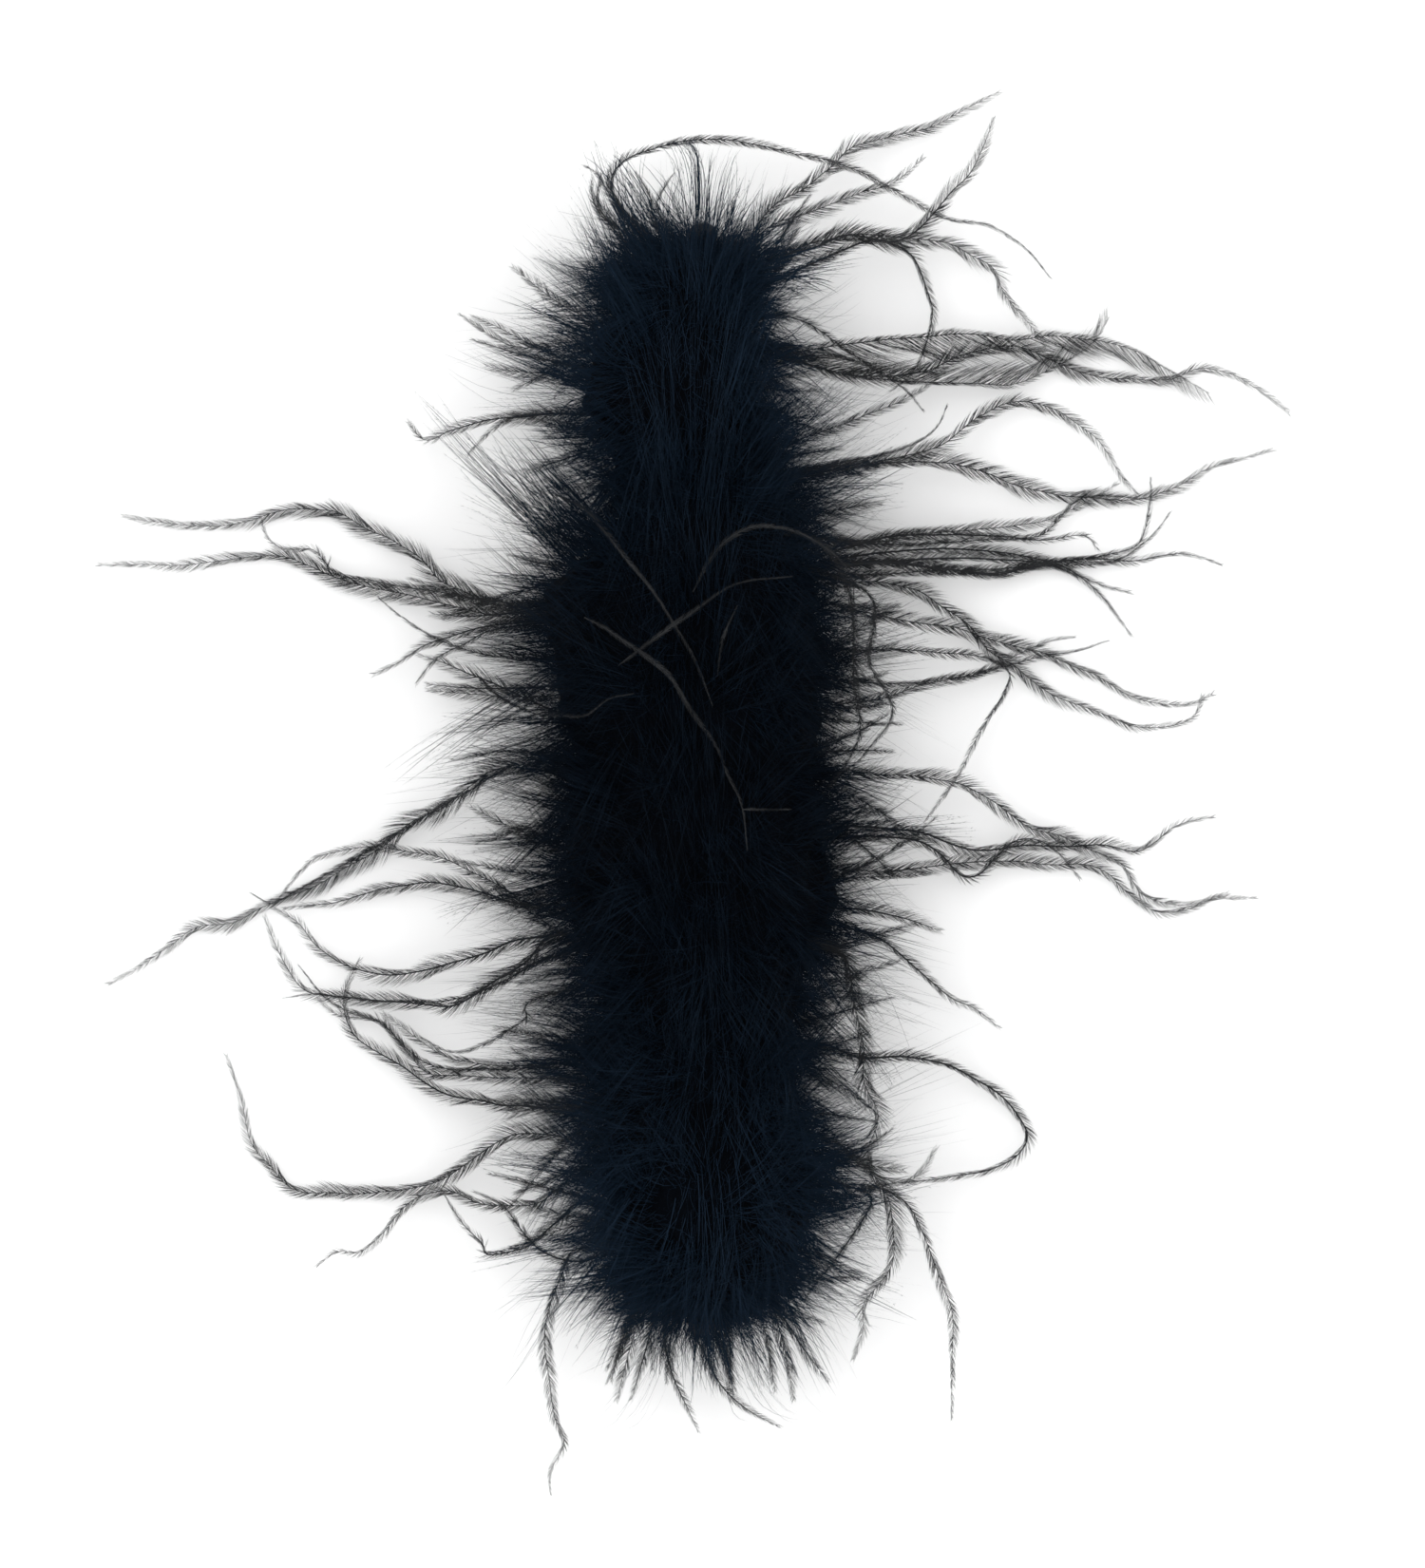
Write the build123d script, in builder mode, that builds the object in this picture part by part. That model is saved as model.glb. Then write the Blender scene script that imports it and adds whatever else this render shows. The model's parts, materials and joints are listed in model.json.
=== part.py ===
"""Feather boa, a short trimming length lying straight on a table.

Two twisted core plies with a binding thread run along +Y. Seven segments of marabou fluff are threaded on
them, and long ostrich flues are tied in by their thick ends. Each segment bends against the next about an
upright axis. The origin is on the table, under the middle of the core. +X is to the right, +Z is up.
"""
from build123d import *
import math
import os

# Driving dimensions, in millimetres and degrees
segment_count = 7
segment_length = 33.0
bend_limit = 18.0
core_height = 24.0
fluff_radii = [26.0, 27.0, 30.0, 30.0, 31.0, 28.0, 26.0]
fluff_rim_round = 4.0
fluff_end_round = 14.0
segment_gap = 0.3

ply_radius = 0.90
ply_offset = 0.97
ply_turns = 3
core_joint_gap = 1.0
thread_radius = 0.20
thread_turns = 6
thread_clearance = 0.06

bore_clearance = 0.25
whipping_setback = 10.5
whipping_length = 4.2
whipping_wraps = 6
knot_setback = 5.5
knot_length = 4.6
knot_radius = 3.1
end_pocket_radius = 3.6
end_pocket_depth = 11.0

flue_thickness = 0.35
flue_level_step = 0.55
flue_first_level = 0.80
flue_root_width = 2.0
flue_tip_width = 0.6

# Worked out from the driving dimensions
half_segment = segment_length / 2
boa_half = segment_count * half_segment
face_slope = math.tan(math.radians((bend_limit + 1.0) / 2))
core_radius = ply_offset + ply_radius
thread_offset = core_radius + thread_radius + thread_clearance
bore_radius = thread_offset + thread_radius + bore_clearance
whipping_inner = core_radius + thread_clearance
whipping_wrap_radius = whipping_length / whipping_wraps / 2
ply_end_setback = whipping_setback - whipping_length - 0.2
thread_end_setback = whipping_setback + 0.5
core_axis = Axis((0, 0, core_height), (0, 1, 0))

# Flues by name: the segment that holds the root, then the route from root to tip as X, Y
flues = {
    "top_arc": (7, [
        (-8, 104), (-17, 114), (-18, 127), (-2, 133), (16, 131),
        (36, 126), (45, 119), (60, 116), (73, 105),
    ]),
    "top_spray": (7, [
        (5, 104), (21, 123), (31, 132), (48, 137), (62, 144),
    ]),
    "top_hook": (7, [
        (6, 100), (23, 110), (39, 112), (48, 118), (56, 127), (61, 139),
    ]),
    "top_drop": (7, [
        (7, 97), (31, 112), (51, 112), (61, 107), (67, 97), (72, 91),
    ]),
    "upper_right_wide": (7, [
        (7, 93), (36, 91), (55, 93), (83, 92), (96, 87), (106, 81),
    ]),
    "upper_right_long": (7, [
        (8, 95), (30, 91), (46, 85), (65, 91),
        (81, 85), (104, 86), (116, 82), (123, 77),
    ]),
    "upper_right_curl": (6, [
        (7, 64), (36, 66), (53, 72), (65, 79),
        (78, 75), (87, 65), (91, 60),
    ]),
    "upper_right_wave": (6, [
        (8, 62), (48, 66), (65, 62), (84, 59),
        (99, 61), (115, 68), (120, 69),
    ]),
    "right_bundle_low": (5, [
        (7, 39), (29, 42), (43, 48), (61, 48), (78, 44), (90, 39),
    ]),
    "right_bundle_long": (5, [
        (8, 37), (30, 39), (50, 43), (70, 45),
        (85, 46), (98, 47), (109, 45),
    ]),
    "right_sweep": (5, [
        (7, 33), (43, 33), (61, 29), (75, 25),
        (89, 18), (103, 16), (107, 18),
    ]),
    "right_fall": (5, [
        (8, 35), (30, 38), (43, 39), (56, 32),
        (70, 20), (84, 14), (98, 11), (105, 18),
    ]),
    "middle_right_fall": (4, [
        (7, 1), (48, 0), (61, -5), (75, -12),
        (88, -18), (97, -26), (110, -24),
    ]),
    "middle_right_wave": (4, [
        (8, -6), (36, -11), (58, -15), (85, -14), (95, -13), (107, -8),
    ]),
    "lower_right_short": (3, [
        (7, -30), (31, -31), (45, -40), (57, -48), (62, -52),
    ]),
    "lower_right_loop": (2, [
        (7, -62), (33, -59), (52, -60), (64, -68),
        (67, -78), (54, -83), (43, -84),
    ]),
    "bottom_right": (1, [
        (8, -96), (32, -92), (43, -95), (49, -104), (52, -116), (52, -134),
    ]),
    "bottom_straight": (1, [
        (-5, -102), (-8, -113), (-6, -124), (-1, -136),
    ]),
    "bottom_bent": (1, [
        (3, -102), (0, -117), (4, -126), (16, -135),
    ]),
    "bottom_left": (1, [
        (-9, -97), (-26, -101), (-32, -110), (-33, -121),
        (-31, -133), (-29, -140), (-32, -151),
    ]),
    "lower_left_step": (1, [
        (-7, -96), (-27, -92), (-41, -89), (-53, -86),
        (-65, -92), (-72, -99), (-81, -102),
    ]),
    "lower_left_hook": (2, [
        (-7, -70), (-31, -74), (-43, -76), (-55, -84),
        (-69, -87), (-86, -86), (-95, -76), (-100, -58),
    ]),
    "lower_left_rise": (2, [
        (-8, -63), (-30, -62), (-52, -62), (-62, -57), (-70, -50), (-81, -46),
    ]),
    "left_net_low": (3, [
        (-7, -35), (-32, -35), (-45, -42), (-59, -47),
        (-80, -45), (-88, -38), (-92, -29),
    ]),
    "left_net_high": (3, [
        (-8, -30), (-37, -33), (-59, -40), (-75, -39), (-85, -31), (-91, -27),
    ]),
    "middle_left_long": (4, [
        (-7, 0), (-43, 1), (-61, -9), (-81, -22),
        (-99, -30), (-112, -35), (-125, -43),
    ]),
    "upper_left_crest": (5, [
        (-7, 35), (-40, 36), (-59, 46), (-70, 52),
        (-85, 57), (-105, 53), (-122, 55),
    ]),
    "upper_left_long": (5, [
        (-8, 31), (-42, 34), (-68, 40), (-90, 47), (-110, 45), (-127, 45),
    ]),
}


def segment_middle(number):
    """Y of the middle of a segment. Segment 1 is at the -Y end."""
    return (number - (segment_count + 1) / 2) * segment_length


def make_fluff(number):
    """A barrel of down round the core: coned faces clear the neighbours at full bend, and its base is flat."""
    middle = segment_middle(number)
    radius = fluff_radii[number - 1]
    rim_setback = segment_gap + radius * face_slope
    bore_setback = segment_gap + bore_radius * face_slope
    low_setback = 0.0 if number == 1 else bore_setback
    high_setback = 0.0 if number == segment_count else bore_setback
    low_rim = 0.0 if number == 1 else rim_setback
    high_rim = 0.0 if number == segment_count else rim_setback
    low_round = fluff_end_round if number == 1 else fluff_rim_round
    high_round = fluff_end_round if number == segment_count else fluff_rim_round
    with BuildPart() as fluff:
        with BuildSketch(Plane.YZ) as profile:
            with BuildLine():
                Polyline(
                    (middle - half_segment + low_setback, core_height + bore_radius),
                    (middle - half_segment + low_rim, core_height + radius),
                    (middle + half_segment - high_rim, core_height + radius),
                    (middle + half_segment - high_setback, core_height + bore_radius),
                    close=True,
                )
            make_face()
            rim = profile.vertices().sort_by(Axis.Y)[-2:].sort_by(Axis.X)
            fillet(rim[0], radius=low_round)
            rim = profile.vertices().sort_by(Axis.Y)[-2:].sort_by(Axis.X)
            fillet(rim[1], radius=high_round)
        revolve(axis=core_axis)
        if number in (1, segment_count):
            side = 1 if number == segment_count else -1
            pocket_start = side * (boa_half - end_pocket_depth)
            with BuildSketch(Plane((0, pocket_start, core_height), z_dir=(0, side, 0))):
                Circle(end_pocket_radius)
            extrude(amount=end_pocket_depth, mode=Mode.SUBTRACT)
        split(bisect_by=Plane.XY, keep=Keep.TOP)
    return fluff.part


def make_coil(number, offset, turns, radius, end_setback, lefthand=False):
    """A strand wound round the core's axis through one segment."""
    middle = segment_middle(number)
    start = middle - half_segment + (end_setback if number == 1 else core_joint_gap)
    stop = middle + half_segment - (end_setback if number == segment_count else core_joint_gap)
    length = stop - start
    foot = (0, start, core_height)
    with BuildPart() as coil:
        with BuildLine() as route:
            Helix(segment_length / turns, length, offset, center=foot, direction=(0, 1, 0), lefthand=lefthand)
        with BuildSketch(Plane(route.line @ 0, z_dir=route.line % 0)):
            Circle(radius)
        sweep(path=route.line, is_frenet=True)
    return coil.part


def make_whipping(side):
    """Close wraps of thread round the end of the plies: a sleeve with a rounded ridge for each wrap."""
    start = boa_half - whipping_setback
    middle_radius = whipping_inner + whipping_wrap_radius
    with BuildPart() as whipping:
        with BuildSketch(Plane.YZ):
            with Locations((side * (start + whipping_length / 2), core_height + middle_radius)):
                Rectangle(whipping_length, 2 * whipping_wrap_radius)
            for wrap in range(whipping_wraps):
                along = start + (2 * wrap + 1) * whipping_wrap_radius
                with Locations((side * along, core_height + whipping_inner + 2 * whipping_wrap_radius)):
                    Circle(whipping_wrap_radius)
        revolve(axis=core_axis)
    return whipping.part


def make_knot(side):
    """The knotted ply ends, a rounded lump that starts where the plies stop."""
    start = boa_half - knot_setback
    with BuildPart() as knot:
        with BuildSketch(Plane.YZ):
            with BuildLine():
                near = (side * start, core_height)
                far = (side * (start + knot_length), core_height)
                crown = (side * (start + knot_length / 2), core_height + knot_radius)
                ThreePointArc(near, crown, far)
                Line(far, near)
            make_face()
        revolve(axis=core_axis)
    return knot.part


def ribbon_edges(route):
    """Left and right edge points of a ribbon that narrows from the root of a route to its tip."""
    left, right = [], []
    last = len(route) - 1
    for place, (x, y) in enumerate(route):
        before = route[max(place - 1, 0)]
        after = route[min(place + 1, last)]
        run = math.hypot(after[0] - before[0], after[1] - before[1])
        across = (-(after[1] - before[1]) / run, (after[0] - before[0]) / run)
        half = (flue_root_width + (flue_tip_width - flue_root_width) * place / last) / 2
        left.append((x + across[0] * half, y + across[1] * half))
        right.append((x - across[0] * half, y - across[1] * half))
    return left, right


def make_flue(level, route):
    """A flat tapering ribbon, the width of a flue with its barbs, at its own height over the table."""
    left, right = ribbon_edges(route)
    height = flue_first_level + level * flue_level_step
    with BuildPart() as flue:
        with BuildSketch(Plane.XY.offset(height)):
            with BuildLine():
                left_edge = Spline(*left)
                right_edge = Spline(*right)
                Line(left_edge @ 0, right_edge @ 0)
                Line(left_edge @ 1, right_edge @ 1)
            make_face()
        extrude(amount=flue_thickness)
    return flue.part


def save(part, name):
    part.label = name
    export_step(part, f"parts/{name}.step")


os.makedirs("parts", exist_ok=True)

for number in range(1, segment_count + 1):
    save(make_fluff(number), f"marabou_{number}")
    ply = make_coil(number, ply_offset, ply_turns, ply_radius, ply_end_setback)
    save(ply, f"core_ply_a_{number}")
    save(ply.rotate(core_axis, 180), f"core_ply_b_{number}")
    thread = make_coil(number, thread_offset, thread_turns, thread_radius, thread_end_setback, lefthand=True)
    save(thread, f"binding_thread_{number}")

for side, end in ((-1, "bottom"), (1, "top")):
    save(make_whipping(side), f"whipping_{end}")
    save(make_knot(side), f"knot_{end}")

for level, (name, (number, route)) in enumerate(flues.items()):
    save(make_flue(level, route), f"ostrich_{name}")
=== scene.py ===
# %% [markdown]
# # A feather boa
# A short trimming boa lies on a white table. Its middle is a cord of two cotton plies. Marabou down is
# caught between the plies all the way round, and long ostrich flues are tied in with it. Everything here is
# in metres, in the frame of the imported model: +Y runs along the cord and +Z is up.

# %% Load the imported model
import bpy
import json
import math
import numpy as np
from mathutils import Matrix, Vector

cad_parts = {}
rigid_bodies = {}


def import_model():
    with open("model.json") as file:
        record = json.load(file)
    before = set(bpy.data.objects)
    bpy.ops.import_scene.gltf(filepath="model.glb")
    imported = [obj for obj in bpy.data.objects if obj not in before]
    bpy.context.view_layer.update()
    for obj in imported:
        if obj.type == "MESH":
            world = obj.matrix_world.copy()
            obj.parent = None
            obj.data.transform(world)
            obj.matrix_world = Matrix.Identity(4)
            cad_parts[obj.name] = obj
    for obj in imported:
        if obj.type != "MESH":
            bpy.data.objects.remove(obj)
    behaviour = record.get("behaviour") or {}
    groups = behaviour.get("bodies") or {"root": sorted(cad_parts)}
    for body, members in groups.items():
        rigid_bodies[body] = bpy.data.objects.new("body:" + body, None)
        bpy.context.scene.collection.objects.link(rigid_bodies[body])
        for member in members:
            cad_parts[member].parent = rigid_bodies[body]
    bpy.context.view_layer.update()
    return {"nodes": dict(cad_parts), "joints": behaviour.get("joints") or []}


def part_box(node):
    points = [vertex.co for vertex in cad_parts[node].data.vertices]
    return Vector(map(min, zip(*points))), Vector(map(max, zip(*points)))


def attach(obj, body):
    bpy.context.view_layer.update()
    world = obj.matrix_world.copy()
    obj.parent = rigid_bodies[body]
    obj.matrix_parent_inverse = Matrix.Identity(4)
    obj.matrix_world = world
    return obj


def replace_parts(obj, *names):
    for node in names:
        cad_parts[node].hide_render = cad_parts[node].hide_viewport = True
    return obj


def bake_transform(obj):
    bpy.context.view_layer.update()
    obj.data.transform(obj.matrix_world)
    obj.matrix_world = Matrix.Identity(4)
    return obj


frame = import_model()

# %% [markdown]
# ## Places, from the frame
# The hinges between the segments say how long a segment is and how high the cord runs. Segment 1 is at the
# -Y end and the last one is at the +Y end.

# %% Places, from the frame
MM = 0.001
bends = sorted(joint["pos_m"][1] for joint in frame["joints"])
SEGMENTS = len(bends) + 1
PITCH = bends[1] - bends[0]
CORE_HEIGHT = frame["joints"][0]["pos_m"][2]
HALF_BOA = SEGMENTS * PITCH / 2
FLOOR_GAP = 0.15 * MM


def segment_middle(number):
    return (number - (SEGMENTS + 1) / 2) * PITCH


print(f"{SEGMENTS} segments of {PITCH / MM:.0f} mm, cord {CORE_HEIGHT / MM:.0f} mm above the table")

# %% [markdown]
# ## Shader maths as Python
# A material is a small calculation. This class wraps one output of a node, so that `mask - 1` or
# `mask * 0.4` adds the Math node it stands for. Every other node comes from `node`, which takes the node's
# type, its settings and what its inputs get.

# %% Shader maths as Python
class Wire:
    """One output of a node. Arithmetic on it adds Math nodes to the same tree."""

    def __init__(self, tree, socket):
        self.tree = tree
        self.socket = socket

    def node(self, kind, settings=None, inputs=None, output=0):
        return add_node(self.tree, kind, settings, inputs, output)

    def maths(self, operation, *values):
        return self.node("ShaderNodeMath", {"operation": operation}, dict(enumerate(values)))

    def __add__(self, other):
        return self.maths("ADD", self, other)

    def __sub__(self, other):
        return self.maths("SUBTRACT", self, other)

    def __mul__(self, other):
        return self.maths("MULTIPLY", self, other)

    def __pow__(self, other):
        return self.maths("POWER", self, other)


def add_node(tree, kind, settings=None, inputs=None, output=0):
    """A node of any kind: settings first, then the value or the wire for each input."""
    made = tree.nodes.new(kind)
    for name, value in (settings or {}).items():
        setattr(made, name, value)
    for key, value in (inputs or {}).items():
        if isinstance(value, Wire):
            tree.links.new(value.socket, made.inputs[key])
        else:
            made.inputs[key].default_value = value
    return Wire(tree, made.outputs[output])


def new_material(name):
    """A material with an empty tree, its Principled shader and the coordinates of the piece."""
    material = bpy.data.materials.new(name)
    material.use_nodes = True
    tree = material.node_tree
    shader = next(n for n in tree.nodes if n.type == "BSDF_PRINCIPLED")
    place = add_node(tree, "ShaderNodeTexCoord", output="Object")
    return material, tree, shader, place


def noise(place, size, detail=2.0, stretch=(1, 1, 1)):
    """Soft random patches, about `size` metres across."""
    scaled = place.node("ShaderNodeVectorMath", {"operation": "MULTIPLY"}, {0: place, 1: stretch})
    inputs = {"Vector": scaled, "Scale": 1 / size, "Detail": detail}
    return place.node("ShaderNodeTexNoise", {"noise_dimensions": "3D"}, inputs, "Fac")


def blend_colour(share, low, high):
    """From colour `low` to colour `high` as share goes from 0 to 1."""
    settings = {"data_type": "RGBA", "clamp_factor": True}
    return share.node("ShaderNodeMix", settings, {0: share, 6: low, 7: high}, 2)


# %% [markdown]
# ## The finish of black down
# Dyed marabou is almost black, a little blue where the light catches it. Each barb is far too fine for a
# woven or grained pattern to show, so the finish is patches: soft ones a few millimetres wide, where a tuft
# took the dye a little less, and fine ones along the barbs. Roughness is one even value for each finish.
# The down is also painted lighter towards both ends of the boa: painted light, where the light fell brighter.

# %% The finish of black down
def feather_material(name, deep, light, patch, roughness, shine, painted_light_at_ends=0.0):
    """From the deep to the light dye in patches. The last argument is painted light: the ends are made
    lighter.
    """
    material, tree, shader, place = new_material(name)
    tufts = noise(place, patch, detail=3.0)
    barbs = noise(place, patch / 9, detail=1.0)
    share = (tufts * 1.5 - 0.35) * (barbs * 1.1 + 0.25)
    # painted light: the colour is made lighter towards both ends of the boa, where the light fell brighter
    if painted_light_at_ends:
        y = place.node("ShaderNodeSeparateXYZ", {}, {0: place}, 1)
        share = share + (y.maths("ABSOLUTE", y) * (1 / HALF_BOA)) ** 2 * painted_light_at_ends
    tree.links.new(blend_colour(share, deep, light).socket, shader.inputs["Base Color"])
    shader.inputs["Roughness"].default_value = roughness
    shader.inputs["Specular IOR Level"].default_value = shine
    return material


# painted shade: the felted body is painted darker than the down's own dye, for the shade inside the fluff
felt_painted_shade_finish = feather_material(
    "felted_down", (0.0004, 0.0007, 0.0013, 1), (0.0015, 0.0025, 0.0045, 1), 9 * MM, 0.9, 0.03)
# the last value, 1.3, paints the down lighter towards the ends of the boa: painted light
down_finish = feather_material(
    "black_marabou_down", (0.0006, 0.0012, 0.0023, 1), (0.0066, 0.0142, 0.0262, 1), 7 * MM, 0.62, 0.04, 1.3)
flue_finish = feather_material(
    "black_ostrich_flue", (0.0080, 0.0087, 0.0098, 1), (0.032, 0.034, 0.037, 1), 5 * MM, 0.55, 0.15)
print("feather finishes:", felt_painted_shade_finish.name, down_finish.name, flue_finish.name)

# %% [markdown]
# ## The finish of dyed cotton and of thread
# The plies are spun cotton: fine fibres run round each ply on a slant. A wave pattern would repeat too
# evenly, so stretched noise gives the lie of the fibres, and a bump lifts them.

# %% The finish of dyed cotton and of thread
def spun_material(name, dark, pale, fibre):
    """Fibres about `fibre` metres thick along a strand, some of them worn paler."""
    material, tree, shader, place = new_material(name)
    lie = noise(place, fibre, detail=3.0, stretch=(1, 0.25, 1))
    wear = noise(place, fibre * 12, detail=2.0)
    share = lie * 0.7 + wear * 0.4 - 0.1
    tree.links.new(blend_colour(share, dark, pale).socket, shader.inputs["Base Color"])
    tree.links.new((lie * 0.25 + 0.65).socket, shader.inputs["Roughness"])
    bump = lie.node("ShaderNodeBump", {}, {"Strength": 0.5, "Distance": 0.1 * MM, "Height": lie})
    tree.links.new(bump.socket, shader.inputs["Normal"])
    return material


cotton_finish = spun_material(
    "dyed_cotton_ply", (0.003, 0.003, 0.004, 1), (0.012, 0.013, 0.016, 1), 0.35 * MM)
thread_finish = spun_material(
    "sewing_thread", (0.005, 0.005, 0.006, 1), (0.020, 0.021, 0.024, 1), 0.12 * MM)
print("cord finishes:", cotton_finish.name, thread_finish.name)

# %% [markdown]
# ## Fine fibres as real mesh
# Hair particles would be quick to comb, but they can't be exported or posed with a body. So each barb is a
# narrow flat strip that ends in a point, and numpy puts thousands of them into one mesh at once. A strip
# costs a quarter of the faces of a round tube, and at a tenth of a millimetre wide nobody can tell them
# apart.

# %% Flat pointed strips
def unit(vectors):
    return vectors / np.maximum(np.linalg.norm(vectors, axis=-1, keepdims=True), 1e-12)


def strips(paths, widths, facing):
    """Corners, corner numbers and face sizes of strips.

    paths is strips x points x 3, widths is strips x points and facing is strips x 3.
    """
    across = unit(np.cross(unit(np.gradient(paths, axis=1)), facing[:, None]))
    half = across[:, :-1] * widths[:, :-1, None] / 2
    pairs = np.stack([paths[:, :-1] - half, paths[:, :-1] + half], 2)
    corners = np.concatenate([pairs.reshape(len(paths), -1, 3), paths[:, -1:]], 1)
    quads = paths.shape[1] - 2
    first = np.arange(len(paths))[:, None] * corners.shape[1]
    rungs = (2 * np.arange(quads)[:, None] + [0, 1, 3, 2]).reshape(-1)
    tip = 2 * quads + np.arange(3)
    numbers = np.concatenate([(first + rungs).ravel(), (first + tip).ravel()])
    sizes = np.concatenate([np.full(len(paths) * quads, 4), np.full(len(paths), 3)])
    return corners.reshape(-1, 3), numbers, sizes


# %% Grids and round tubes
def grid(rings):
    """A closed-round grid through rings x corners x 3, with a cap at both ends."""
    rows, sides = rings.shape[:2]
    corner = np.arange(sides)
    following = (corner + 1) % sides
    row = np.arange(rows - 1)[:, None] * sides
    quads = np.stack([row + corner, row + following, row + sides + following, row + sides + corner], -1)
    caps = np.concatenate([corner[::-1], (rows - 1) * sides + corner])
    numbers = np.concatenate([quads.reshape(-1), caps])
    sizes = np.concatenate([np.full((rows - 1) * sides, 4), [sides, sides]])
    return rings.reshape(-1, 3), numbers, sizes


def tube(line, radii, sides):
    """A round tube along one line of points."""
    ahead = unit(np.gradient(line, axis=0))
    helper = np.eye(3)[np.argmin(np.abs(unit(line[-1] - line[0])))]
    across = unit(np.cross(ahead, helper))
    above = np.cross(across, ahead)
    turn = 2 * math.pi * np.arange(sides)[:, None] / sides
    ring = across[:, None] * np.cos(turn) + above[:, None] * np.sin(turn)
    return grid(line[:, None] + ring * radii[:, None, None])


# %% One piece from many parts
def mesh_piece(name, parts, material):
    """An object from (corners, corner numbers, face sizes) parts, smooth shaded, with its finish."""
    starts = np.cumsum([0] + [len(corners) for corners, _, _ in parts])
    points = np.concatenate([corners for corners, _, _ in parts])
    points[:, 2] = np.maximum(points[:, 2], FLOOR_GAP)
    numbers = np.concatenate([numbers + start for (_, numbers, _), start in zip(parts, starts)])
    sizes = np.concatenate([sizes for _, _, sizes in parts])
    mesh = bpy.data.meshes.new(name)
    mesh.vertices.add(len(points))
    mesh.vertices.foreach_set("co", points.astype(np.float32).ravel())
    mesh.loops.add(len(numbers))
    mesh.loops.foreach_set("vertex_index", numbers.astype(np.int32))
    mesh.polygons.add(len(sizes))
    mesh.polygons.foreach_set("loop_start", (np.cumsum(sizes) - sizes).astype(np.int32))
    mesh.polygons.foreach_set("use_smooth", np.ones(len(sizes), bool))
    mesh.update(calc_edges=True)
    mesh.materials.append(material)
    piece = bpy.data.objects.new(name, mesh)
    bpy.context.scene.collection.objects.link(piece)
    return piece


def along(paths, shares):
    """Points and directions at shares (paths x places, 0 to 1) of each path."""
    place = shares * (paths.shape[1] - 1)
    low = np.clip(place.astype(int), 0, paths.shape[1] - 2)
    row = np.arange(len(paths))[:, None]
    step = paths[row, low + 1] - paths[row, low]
    return paths[row, low] + step * (place - low)[..., None], unit(step)


# %% [markdown]
# ## The outline of the fluff
# Down isn't the same length everywhere: the boa bulges in the middle and leans to one side at its +Y end.
# These lists say how far the dense fluff reaches to each side of the cord, and how much further its thin
# wisps go, at even steps from the -Y end to the +Y end. TOP_REACH and TALLEST are the most that the dense
# fluff reaches above the cord and above the table. PAST_END is how far, least and most, the wisps may go
# past each end, and FURTHEST is where the last of them stops. All are in millimetres.

# %% The outline of the fluff
LEFT_REACH = [4, 13, 23, 22, 24, 17, 24, 32, 32, 28, 33, 35, 38, 20, 17, 29, 24, 18, 13]
RIGHT_REACH = [4, 18, 26, 26, 22, 21, 24, 32, 28, 26, 28, 26, 27, 20, 15, 9, 9, 6, 1]
LEFT_WISPS = [8, 15, 24, 25, 30, 34, 32, 28, 26, 28, 32, 34, 30, 17, 17, 26, 32, 15, 8]
RIGHT_WISPS = [14, 22, 20, 22, 22, 22, 25, 24, 20, 18, 18, 22, 22, 24, 25, 24, 22, 18, 8]
TOP_REACH = 25
PAST_END = {-1: (-5, 20), 0: (-9, 9), 1: (-11, 6)}
FURTHEST = 131
TALLEST = 44
OVER_TALLEST = 18
FREE_PAST_END = 4
LOWEST_UNPRESSED = 3
OUTLINE_STEPS = np.linspace(-HALF_BOA, HALF_BOA, len(LEFT_REACH))


def by_side(x, y, left, right):
    """A value read from the left list where x is below 0 and from the right list elsewhere, in metres."""
    return np.where(x < 0, np.interp(y, OUTLINE_STEPS, left), np.interp(y, OUTLINE_STEPS, right)) * MM


def tall_reach(y, up):
    """How far the dense fluff reaches above the cord, or below it, where it always meets the table."""
    width = np.interp(y, OUTLINE_STEPS, LEFT_REACH) + np.interp(y, OUTLINE_STEPS, RIGHT_REACH)
    above = np.minimum(width / 2 + 3, TOP_REACH) * MM
    return np.where(up < 0, CORE_HEIGHT + 1 * MM, above)


def ease(values, limit, room):
    """Values over the limit are drawn in, so that none goes further past it than the room."""
    return np.where(values > limit, limit + room * np.tanh((values - limit) / room), values)


def settle(points):
    """Fibres near the table spread sideways on it, and none goes past the top or the ends of the boa."""
    height = points[..., 2]
    points[..., 0] += np.sign(points[..., 0]) * np.maximum(-height, 0) * 0.5
    low = LOWEST_UNPRESSED * MM
    height = np.where(height < low, low * np.exp((height - low) / low), height)
    points[..., 2] = ease(height, TALLEST * MM, OVER_TALLEST * MM)
    along_boa = points[..., 1]
    free = HALF_BOA + FREE_PAST_END * MM
    points[..., 1] = np.sign(along_boa) * ease(np.abs(along_boa), free, FURTHEST * MM - free)
    return points


# %% [markdown]
# ## The felted down inside
# Close to the cord the down of neighbouring tufts is felted together, and no light gets through. Fibres
# alone would need millions of faces to be as dense, so a lumpy, ridged body fills the middle and the loose
# fibres start inside it. It is made in one span per joint.
# Its finish is painted darker than the down's own dye, as painted shade for the inside of the fluff.

# %% The felted down inside
FELT_SHARE = 0.86
FELT_TOP_SHARE = 0.03
FELT_LUMP = 0.005
FELT_END = HALF_BOA - 6 * MM
FELT_ROUNDING = 9 * MM
FELT_RING_STEP = 0.9 * MM
FELT_SIDES = 144
FELT_WAVES = 22
FULL_TURN = 6.3
felt_rng = np.random.default_rng(7)
felt_waves = [(int(felt_rng.integers(3, 34)), felt_rng.uniform(-900, 900), felt_rng.uniform(0, FULL_TURN))
              for _ in range(FELT_WAVES)]


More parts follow.
